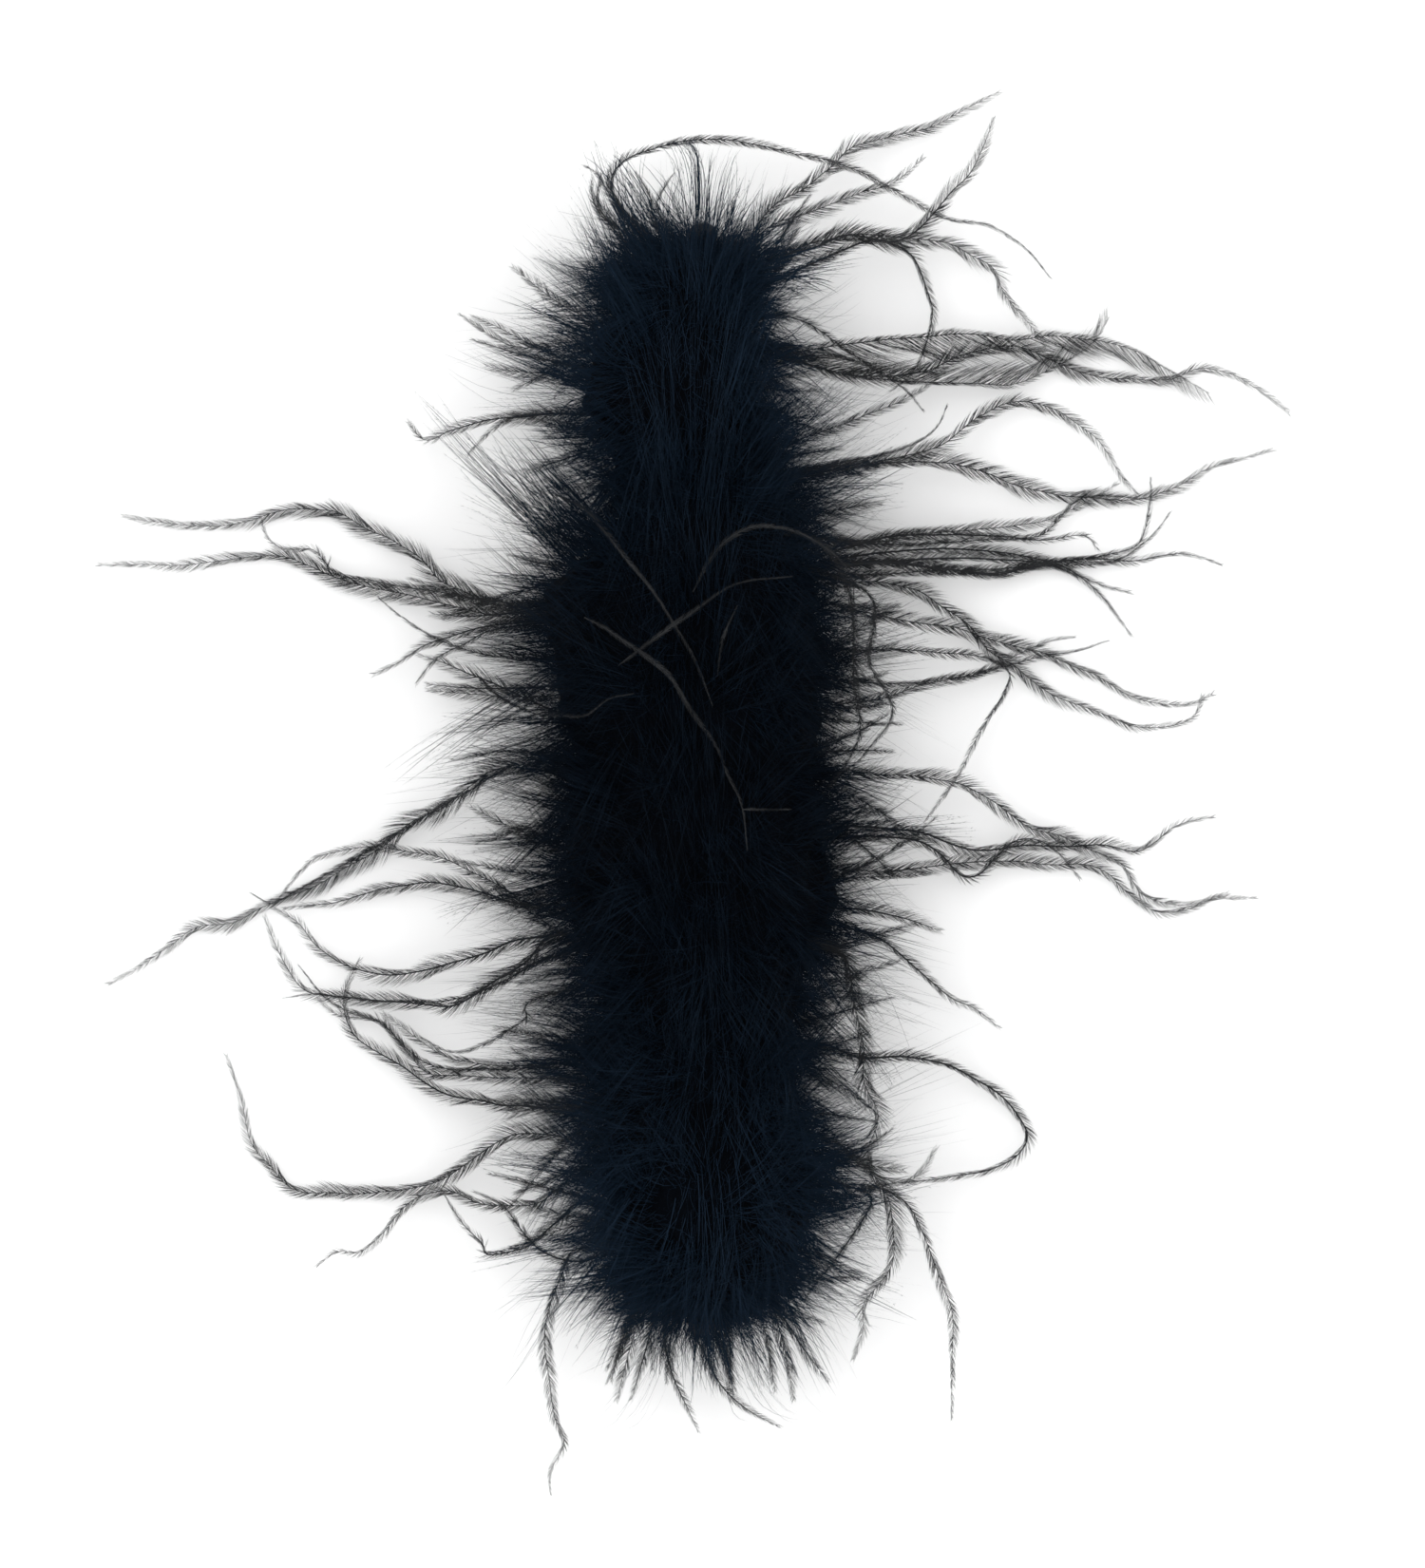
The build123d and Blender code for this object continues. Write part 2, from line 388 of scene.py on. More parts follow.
def felt_rings(low, high):
    """Rings of the felted body from low to high, drawn in to a round nose at the ends of the boa."""
    y = np.linspace(low, high, max(int((high - low) / FELT_RING_STEP), 4))[:, None]
    angle = np.linspace(0, 2 * math.pi, FELT_SIDES, endpoint=False)[None]
    across, up = np.cos(angle), np.sin(angle)
    side = by_side(across, y, LEFT_REACH, RIGHT_REACH)
    radius = 1 / np.sqrt((across / side) ** 2 + (up / tall_reach(y, up)) ** 2)
    lumps = sum(np.sin(count * angle + rate * y + phase) for count, rate, phase in felt_waves)
    past = np.clip((np.abs(y) - (FELT_END - FELT_ROUNDING)) / FELT_ROUNDING, 0, 0.999)
    share = FELT_SHARE - FELT_TOP_SHARE * np.maximum(up, 0) + FELT_LUMP * lumps
    radius = radius * share * np.sqrt(1 - past ** 2)
    rings = np.stack([radius * across, np.broadcast_to(y, radius.shape), CORE_HEIGHT + radius * up], -1)
    return settle(rings)


spans = [(segment_middle(k), segment_middle(k + 1)) for k in range(1, SEGMENTS)]
end_spans = [(0, 1, -FELT_END, segment_middle(1)), (SEGMENTS, SEGMENTS, segment_middle(SEGMENTS), FELT_END)]


def bend_with(piece, number):
    """The piece stands for the fluff of two segments."""
    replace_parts(piece, f"marabou_{number}", f"marabou_{number + 1}")
    f"segment_{number + 1}"
    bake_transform(piece)


for number, (low, high) in enumerate(spans, start=1):
    bend_with(mesh_piece(f"felted_down_{number}", [grid(felt_rings(low, high))], felt_painted_shade_finish),
              number)
for number, body, low, high in end_spans:
    piece = mesh_piece(f"felted_down_{number}", [grid(felt_rings(low, high))], felt_painted_shade_finish)
    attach(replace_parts(piece, f"marabou_{body}"), f"segment_{body}")
print("felted body:", len(spans) + len(end_spans), "spans")

# %% [markdown]
# ## Marabou barbs
# A marabou feather is a short quill with long soft barbs that clump into wisps. Here a tuft is a curved
# guide that leaves the cord, and its barbs follow the guide, spread apart and then draw together again near
# the tip. The barbs are only made from where they leave the felted body, since the rest can't be seen.
# Tufts stand all round the cord but for straight down, and at the two ends they fan out past the end of the
# cord.

# %% Which way each tuft stands
ROUND_CORD = math.radians(-60), math.radians(240)
LEAN_SPREAD, MOST_LEAN = 0.42, 0.85
END_FAN = -0.3, 0.99


def tuft_directions(rng, y, end):
    """A direction for each tuft rooted at y. end is -1 or 1 where they fan out past an end, else 0."""
    round_cord = rng.uniform(*ROUND_CORD, len(y))
    if end:
        lean = end * np.arcsin(rng.uniform(*END_FAN, len(y)))
    else:
        lean = np.clip(rng.normal(0, LEAN_SPREAD, len(y)), -MOST_LEAN, MOST_LEAN)
    flat = np.cos(lean)
    return np.stack([flat * np.cos(round_cord), np.sin(lean), flat * np.sin(round_cord)], -1)


def dense_length(direction, y, end):
    """How far the dense fluff goes from the cord in each direction."""
    x, lean, up = direction.T
    there = y + lean * 12 * MM
    side = by_side(x, there, LEFT_REACH, RIGHT_REACH)
    along_cord = np.maximum(HALF_BOA - 5 * MM - np.abs(y), 5 * MM) if end else 10.0
    return 1 / np.sqrt((x / side) ** 2 + (up / tall_reach(there, up)) ** 2 + (lean / along_cord) ** 2)


# %% Tufts and their barbs
TUFT_CURL = 3.5 * MM, 5 * MM, 2.5 * MM
TUFT_CURL_AT_END = 3.5 * MM, 2 * MM, 2.5 * MM
BARB_CURL = 1.3 * MM
CURL_ON_TOP, BARB_CURL_ON_TOP = 13 * MM, 4 * MM
RIPPLE = 0.35 * MM
LEAST_ROOM = 4 * MM


def tuft_barbs(rng, low, high, end, tufts, barbs, spread, lengths, start, points, gather, hook):
    """Barbs of one layer of down, as fibres x points x 3.

    lengths are shares of the wisps' extra length beyond the dense fluff, and start is the share of the
    dense fluff where a barb begins to be made. spread is how far the barbs of a tuft stand apart, gather
    draws them together again near the tip, and hook bends the tip of the whole tuft aside.
    """
    y = rng.uniform(low, high, tufts)
    direction = tuft_directions(rng, y, end)
    dense = dense_length(direction, y, end)
    extra = by_side(direction[:, 0], y, LEFT_WISPS, RIGHT_WISPS) * (0.75 if end else 1)
    extra = extra * (1 - 0.6 * np.maximum(direction[:, 2], 0) ** 2)
    outward = np.maximum(direction[:, 1] * np.sign(y), 0.05)
    to_end = HALF_BOA + rng.uniform(*PAST_END[end], tufts) * MM - np.abs(y)
    room = np.maximum(to_end, LEAST_ROOM) / outward
    tuft_length = np.minimum(dense + extra * rng.uniform(*lengths, tufts), room)
    length = tuft_length[:, None] * rng.uniform(0.80, 1.05, (tufts, barbs))
    begin = np.minimum(dense[:, None] * start / length, 0.9)
    s = begin[..., None] + (1 - begin[..., None]) * np.linspace(0, 1, points)
    upward = np.maximum(direction[:, 2], 0)[:, None, None, None] * [0.5, 0.3 if end else 1.0, 0.2]
    tuft_curl = TUFT_CURL_AT_END if end else TUFT_CURL
    curl = rng.normal(0, 1, (tufts, 1, 1, 3)) * (tuft_curl + CURL_ON_TOP * upward)
    curl = curl + rng.normal(0, 1, (tufts, barbs, 1, 3)) * (BARB_CURL + BARB_CURL_ON_TOP * upward)
    apart = rng.normal(0, spread, (tufts, barbs, 1, 3)) * (s * (1.6 - gather * s))[..., None]
    phase = rng.uniform(0, FULL_TURN, (tufts, barbs, 1, 1))
    ripple = np.sin(phase + s[..., None] * rng.uniform(6, 14, (tufts, barbs, 1, 1)))
    wave = rng.normal(0, RIPPLE, (tufts, barbs, 1, 3)) * ripple
    droop = rng.uniform(1, 7, (tufts, 1, 1)) * MM * s ** 2
    shown = np.linspace(0, 1, points)[:, None]
    sweep = rng.normal(0, hook, (tufts, 1, 1, 3)) * shown ** 2
    paths = direction[:, None, None] * (length[..., None] * s)[..., None] + curl * s[..., None] ** 2
    paths = paths + apart + wave + sweep
    paths[..., 1] += y[:, None, None]
    paths[..., 2] += CORE_HEIGHT - droop
    return settle(paths.reshape(-1, points, 3))


# %% [markdown]
# ## Barbules
# Each barb carries barbules, hairs so fine that they only show as a soft grey edge. One narrow triangle
# each is enough. They leave the barb at a slant and point towards its tip.

# %% Barbules
def barb_fuzz(rng, paths, each, length, width):
    """Barbules all round each barb, as strips of one triangle."""
    share = rng.uniform(0.0, 0.97, (len(paths), each))
    start, ahead = along(paths, share)
    outward = unit(np.cross(ahead, rng.normal(0, 1, ahead.shape)))
    slant = rng.uniform(0.25, 0.65, share.shape)[..., None]
    size = length * rng.uniform(0.5, 1.2, share.shape)[..., None] * (1.1 - 0.7 * share[..., None])
    tips = start + (ahead * np.cos(slant) + outward * np.sin(slant)) * size
    hairs = np.stack([start, tips], 2).reshape(-1, 2, 3)
    return strips(hairs, np.full((len(hairs), 2), width), rng.normal(0, 1, (len(hairs), 3)))


def barb_strips(rng, paths, width, tip_share):
    """Tapering strips along barbs, each turned its own way."""
    taper = np.linspace(1, tip_share, paths.shape[1])
    widths = width * rng.uniform(0.6, 1.35, (len(paths), 1)) * taper
    return strips(paths, widths, rng.normal(0, 1, (len(paths), 3)))


# %% [markdown]
# ## The three layers of down
# Short dense barbs make the dark fluff, fuzzy wisps stand out of it, and a haze of fine long barbs softens
# the edge. Only the wisps carry barbules, since nobody could see them on the others.

# %% The three layers of down
DENSE = dict(tufts=205, barbs=35, spread=2.6 * MM, lengths=(-0.15, 0.35), start=0.70, points=5, gather=1.1,
             hook=1.5 * MM)
WISPS = dict(tufts=88, barbs=26, spread=2.5 * MM, lengths=(0.0, 1.0), start=0.72, points=9, gather=1.42,
             hook=4.0 * MM)
HAZE = dict(tufts=130, barbs=14, spread=3.0 * MM, lengths=(0.2, 1.1), start=0.8, points=7, gather=0.9,
            hook=3.0 * MM)
DENSE_WIDTH, WISP_WIDTH, HAZE_WIDTH = 0.19 * MM, 0.17 * MM, 0.080 * MM
FUZZ_EACH, FUZZ_LENGTH, FUZZ_WIDTH = 22, 1.6 * MM, 0.070 * MM


def marabou_parts(number, low, high, end):
    """All the down rooted between low and high."""
    rng = np.random.default_rng(100 + number)
    dense = tuft_barbs(rng, low, high, end, **DENSE)
    wisps = tuft_barbs(rng, low, high, end, **WISPS)
    haze = tuft_barbs(rng, low, high, end, **HAZE)
    return [
        barb_strips(rng, dense, DENSE_WIDTH, tip_share=0.3),
        barb_strips(rng, wisps, WISP_WIDTH, tip_share=0.25),
        barb_fuzz(rng, wisps, FUZZ_EACH, FUZZ_LENGTH, FUZZ_WIDTH),
        barb_strips(rng, haze, HAZE_WIDTH, tip_share=0.3),
    ]


# %% Marabou down, span by span
for number, (low, high) in enumerate(spans, start=1):
    piece = mesh_piece(f"marabou_down_{number}", marabou_parts(number, low, high, 0), down_finish)
    bend_with(piece, number)
for number, body, low, high in end_spans:
    end = 1 if high > 0 else -1
    root_end = end * (HALF_BOA - 10 * MM)
    root_low, root_high = sorted((segment_middle(body), root_end))
    parts = marabou_parts(number, root_low, root_high, end)
    piece = mesh_piece(f"marabou_down_{number}", parts, down_finish)
    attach(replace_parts(piece, f"marabou_{body}"), f"segment_{body}")
faces = [len(o.data.polygons) for o in bpy.data.objects if o.name.startswith("marabou_down")]
print("down:", len(faces), "pieces of up to", max(faces), "faces")

# %% [markdown]
# ## Ostrich flues
# A flue is one long barb of an ostrich plume: a fine dark spine with soft barbules down both sides, so from
# a step away it looks like a hairy grey ribbon. Each route below is given in millimetres, from the root at
# the cord to the tip. The curve through the points is smooth, and the flue sinks from the height of the
# cord to the table on the way out.

# %% A smooth curve through hand-set points
def smooth_route(points, step):
    """Catmull-Rom curve through points, at even steps of about `step` metres."""
    ends = np.vstack([2 * points[0] - points[1], points, 2 * points[-1] - points[-2]])
    t = np.linspace(0, 1, 12, endpoint=False)[:, None]
    pieces = []
    for a, b, c, d in zip(ends, ends[1:], ends[2:], ends[3:]):
        square, cube = 2 * a - 5 * b + 4 * c - d, 3 * b - a - 3 * c + d
        pieces.append(0.5 * (2 * b + (c - a) * t + square * t ** 2 + cube * t ** 3))
    dense = np.vstack(pieces + [points[-1:]])
    travelled = np.concatenate([[0], np.cumsum(np.linalg.norm(np.diff(dense, axis=0), axis=1))])
    even = np.linspace(0, travelled[-1], max(int(travelled[-1] / step), 6))
    return np.stack([np.interp(even, travelled, dense[:, k]) for k in range(dense.shape[1])], -1)


# %% Where a flue lies in height
FLUFF_HALF_WIDTH = 36 * MM
OVER_FLUFF, OVER_DIPS = 3, 4


def flue_height(line, kind, rng):
    """Out and down to the table, along the edge of the fluff, or over its top."""
    s = np.linspace(0, 1, len(line))
    if kind == "over":
        across = np.clip(1 - (line[:, 0] / FLUFF_HALF_WIDTH) ** 2, 0, 1)
        dips = OVER_DIPS * np.sin(rng.uniform(0, FULL_TURN) + 8 * s)
        return CORE_HEIGHT + (TOP_REACH + OVER_FLUFF + dips) * MM * np.sqrt(across)
    if kind == "edge":
        return CORE_HEIGHT + 6 * MM + 3 * MM * np.sin(4 * s)
    beyond_end = np.maximum(np.abs(line[:, 1]) - HALF_BOA, 0)
    away = np.clip(np.hypot(line[:, 0], beyond_end * 2) / (80 * MM), 0, 1)
    sag = (1 - away) ** rng.uniform(0.9, 1.9)
    return rng.uniform(1.2, 2.6) * MM + (CORE_HEIGHT - 2 * MM) * sag + 1.5 * MM * np.sin(5 * s) ** 2


# %% Spine and barbules of one flue
def ragged(rng, count, every):
    """A smooth random run of `count` values from 0 to 1 that changes about every `every` places."""
    knots = rng.uniform(0, 1, max(int(count / every), 2) + 1)
    return np.interp(np.linspace(0, len(knots) - 1, count), np.arange(len(knots)), knots)


STOUT_SPINE, FINE_SPINE, SPINE_TIP = 0.28, 0.13, 0.02
ROUTE_STEP = 1.0 * MM
ROUTE_WOBBLE = 0.5 * MM
HAIRS_PER_STEP = 18
HAIR_WIDTH = 0.060 * MM
HAIRS_A_LOCK = 130


def flue_parts(route, width, kind, seed):
    """The spine and the barbules of a flue. width is their reach in mm, or (left, right) if they differ."""
    rng = np.random.default_rng(seed)
    line = smooth_route(np.asarray(route, float) * MM, ROUTE_STEP)
    line = np.column_stack([line, flue_height(line, kind, rng)])
    wobble = ragged(rng, len(line), 5) - 0.5
    line[:, 1] += wobble * ROUTE_WOBBLE
    s = np.linspace(0, 1, len(line))
    thickness = STOUT_SPINE if kind == "stout" else FINE_SPINE
    spine = tube(line, (thickness * (1 - s) ** 0.7 + SPINE_TIP) * MM, 5)
    count = len(line) * HAIRS_PER_STEP
    share = np.sort(rng.uniform(0.02, 1.0, count))[None]
    start, ahead = along(line[None], share)
    start, ahead, share = start[0], ahead[0], share[0][:, None]
    side = rng.choice([-1, 1], count)[:, None]
    flat = unit(np.cross(ahead, [0, 0, 1]))
    outward = unit(flat * side + np.cross(flat, ahead) * rng.normal(0, 0.35, (count, 1)))
    left, right = ragged(rng, count, HAIRS_A_LOCK), ragged(rng, count, HAIRS_A_LOCK)
    shaggy = np.where(side[:, 0] > 0, left, right)[:, None]
    vane = np.where(side > 0, *np.broadcast_to(width, 2)[::-1]) * MM
    profile = np.sin(math.pi * (0.28 + 0.68 * share)) ** 0.7
    reach_out = vane * profile * (0.60 + 1.1 * shaggy) * rng.uniform(0.65, 1.1, (count, 1))
    forward = reach_out * (1.4 + 1.1 * (1 - shaggy)) * rng.uniform(0.85, 1.15, (count, 1)) + 0.4 * MM
    t = np.array([0, 0.5, 1])[None, :, None]
    out_from_spine = outward[:, None] * reach_out[:, None] * t ** 0.8
    hairs = start[:, None] + out_from_spine + (ahead * forward)[:, None] * t
    facing = np.tile([0.0, 0.0, 1.0], (count, 1)) + rng.normal(0, 0.5, (count, 3))
    widths = HAIR_WIDTH * rng.uniform(0.7, 1.3, (count, 1)) * (1.1 - 0.7 * share ** 3) * [1.0, 0.9, 0.3]
    return [spine, strips(hairs, widths, facing)]


# %% [markdown]
# ## Where each flue lies
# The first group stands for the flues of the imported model, by name. The second group is the many loose ones
# beside them, and the last group lies along the edge of the fluff or over its top. Each entry has the
# segment that holds the root, the width of the ribbon, and the route.

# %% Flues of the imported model
tied_flues = {
    "top_arc": (7, 1.0, [(-6, 100), (-13, 112), (-18, 119), (-19, 125), (-16, 129), (-11, 131), (-2, 133),
        (7, 133), (16, 131), (30, 128), (40, 123), (47, 119), (52, 117), (60, 116), (68, 111), (73, 105)]),
    "top_spray": (7, 2.2, [(4, 98), (12, 116), (21, 123), (27, 128), (31, 132), (40, 135), (48, 137),
        (56, 141), (62, 144)]),
    "top_hook": (7, 2.4, [(5, 98), (12, 107), (23, 110), (30, 113), (39, 112), (44, 114), (48, 118),
        (52, 123), (56, 127), (59, 133), (61, 139)]),
    "top_drop": (7, 2.0, [(6, 97), (18, 109), (31, 113), (42, 113), (51, 112), (56, 110), (61, 107),
        (63, 102), (67, 97), (72, 91)]),
    "upper_right_wide": (7, (1.0, 5.5), [(5, 90), (12, 87), (23, 89), (36, 91), (46, 92), (55, 93),
        (66, 92), (73, 93), (83, 92), (91, 90), (96, 87), (101, 84), (106, 81)]),
    "upper_right_long": (7, 2.0, [(6, 92), (20, 87), (33, 84), (46, 85), (55, 89), (65, 91), (73, 88),
        (81, 85), (89, 84), (98, 84), (104, 86), (111, 85), (116, 82), (123, 77)]),
    "upper_right_curl": (6, 1.8, [(6, 62), (22, 63), (36, 66), (48, 69), (53, 72), (58, 76), (65, 79),
        (73, 78), (78, 75), (83, 71), (87, 65), (91, 60)]),
    "upper_right_wave": (6, 2.0, [(6, 65), (22, 64), (40, 66), (48, 66), (57, 65), (65, 62), (74, 60),
        (84, 59), (92, 59), (99, 61), (106, 65), (115, 68), (120, 69)]),
    "right_bundle_low": (5, 1.6, [(6, 40), (20, 44), (29, 46), (43, 48), (61, 48), (71, 46), (78, 43),
        (83, 41), (90, 39)]),
    "right_bundle_long": (5, 1.5, [(6, 37), (20, 42), (33, 45), (50, 44), (61, 43), (70, 45), (78, 46),
        (85, 46), (92, 46), (98, 47), (103, 47), (109, 45)]),
    "right_sweep": (5, 1.8, [(6, 33), (20, 35), (31, 35), (43, 33), (51, 32), (61, 29), (70, 27), (75, 25),
        (82, 22), (89, 18), (96, 16), (103, 16), (107, 18)]),
    "right_fall": (5, 1.6, [(7, 35), (26, 41), (43, 40), (50, 36), (56, 32), (60, 27), (65, 24), (70, 20),
        (75, 17), (84, 14), (91, 11), (98, 11), (103, 13), (105, 18)]),
    "middle_right_fall": (4, 1.8, [(6, 1), (20, 1), (29, 1), (40, 1), (48, 0), (54, -1), (61, -5),
        (68, -10), (75, -12), (82, -15), (88, -18), (92, -24), (97, -26), (103, -26), (110, -24)]),
    "middle_right_wave": (4, 1.8, [(7, -5), (22, -9), (36, -10), (45, -11), (51, -13), (58, -15), (68, -14),
        (78, -14), (85, -14), (91, -15), (95, -13), (99, -10), (107, -8)]),
    "lower_right_short": (3, 1.5, [(6, -30), (20, -30), (31, -31), (38, -34), (45, -40), (51, -45),
        (57, -48), (62, -52)]),
    "lower_right_loop": (2, 1.4, [(6, -60), (22, -55), (33, -58), (43, -58), (52, -60), (59, -64),
        (64, -68), (68, -74), (67, -78), (63, -81), (54, -83), (43, -84), (33, -85)]),
    "bottom_right": (1, 1.4, [(7, -92), (24, -88), (35, -85), (42, -88), (46, -95), (49, -103), (52, -111),
        (52, -121), (52, -134)]),
    "bottom_straight": (1, 1.3, [(-5, -100), (-8, -113), (-7, -121), (-5, -127), (-1, -136)]),
    "bottom_bent": (1, 1.3, [(2, -100), (-2, -111), (0, -118), (4, -126), (9, -131), (16, -135)]),
    "bottom_left": (1, 1.5, [(-9, -95), (-20, -97), (-27, -98), (-29, -102), (-32, -110), (-33, -117),
        (-32, -125), (-31, -133), (-29, -139), (-32, -145), (-32, -150)]),
    "lower_left_step": (1, 1.5, [(-6, -88), (-24, -82), (-34, -88), (-41, -89), (-48, -88), (-53, -86),
        (-59, -87), (-63, -90), (-67, -95), (-72, -99), (-77, -99), (-81, -102)]),
    "lower_left_hook": (2, 1.9, [(-6, -72), (-24, -75), (-31, -74), (-38, -74), (-43, -76), (-49, -80),
        (-55, -84), (-62, -86), (-69, -87), (-78, -87), (-86, -86), (-91, -81), (-95, -76), (-97, -67),
        (-100, -58)]),
    "lower_left_rise": (2, 1.4, [(-7, -63), (-30, -62), (-41, -62), (-52, -62), (-58, -61), (-62, -57),
        (-67, -51), (-70, -50), (-77, -49), (-81, -46)]),
    "left_net_low": (3, 1.9, [(-6, -32), (-22, -32), (-32, -33), (-37, -38), (-45, -43), (-52, -47),
        (-59, -47), (-70, -46), (-81, -45), (-85, -43), (-88, -38), (-90, -34), (-92, -29)]),
    "left_net_high": (3, 2.0, [(-6, -30), (-22, -32), (-37, -33), (-45, -36), (-52, -38), (-59, -40),
        (-67, -41), (-75, -39), (-81, -35), (-85, -30), (-90, -27)]),
    "middle_left_long": (4, 2.2, [(-6, 3), (-25, 4), (-43, 2), (-48, -1), (-55, -6), (-61, -9), (-67, -14),
        (-74, -18), (-81, -22), (-88, -25), (-93, -27), (-99, -30), (-106, -31), (-112, -35), (-119, -40),
        (-125, -43)]),
    "upper_left_crest": (5, 2.2, [(-6, 35), (-22, 36), (-40, 36), (-47, 38), (-54, 41), (-59, 46),
        (-65, 50), (-70, 52), (-77, 56), (-85, 57), (-90, 56), (-96, 54), (-105, 53), (-114, 54),
        (-122, 55)]),
    "upper_left_long": (5, 2.0, [(-6, 32), (-25, 33), (-42, 34), (-51, 36), (-59, 38), (-68, 40), (-76, 42),
        (-83, 45), (-90, 47), (-100, 46), (-110, 45), (-121, 45), (-127, 45)]),
}

stout_flues = ["right_bundle_low", "right_bundle_long", "left_net_low", "left_net_high", "middle_right_wave",
               "bottom_bent", "bottom_straight", "lower_right_loop", "lower_right_short", "top_hook"]

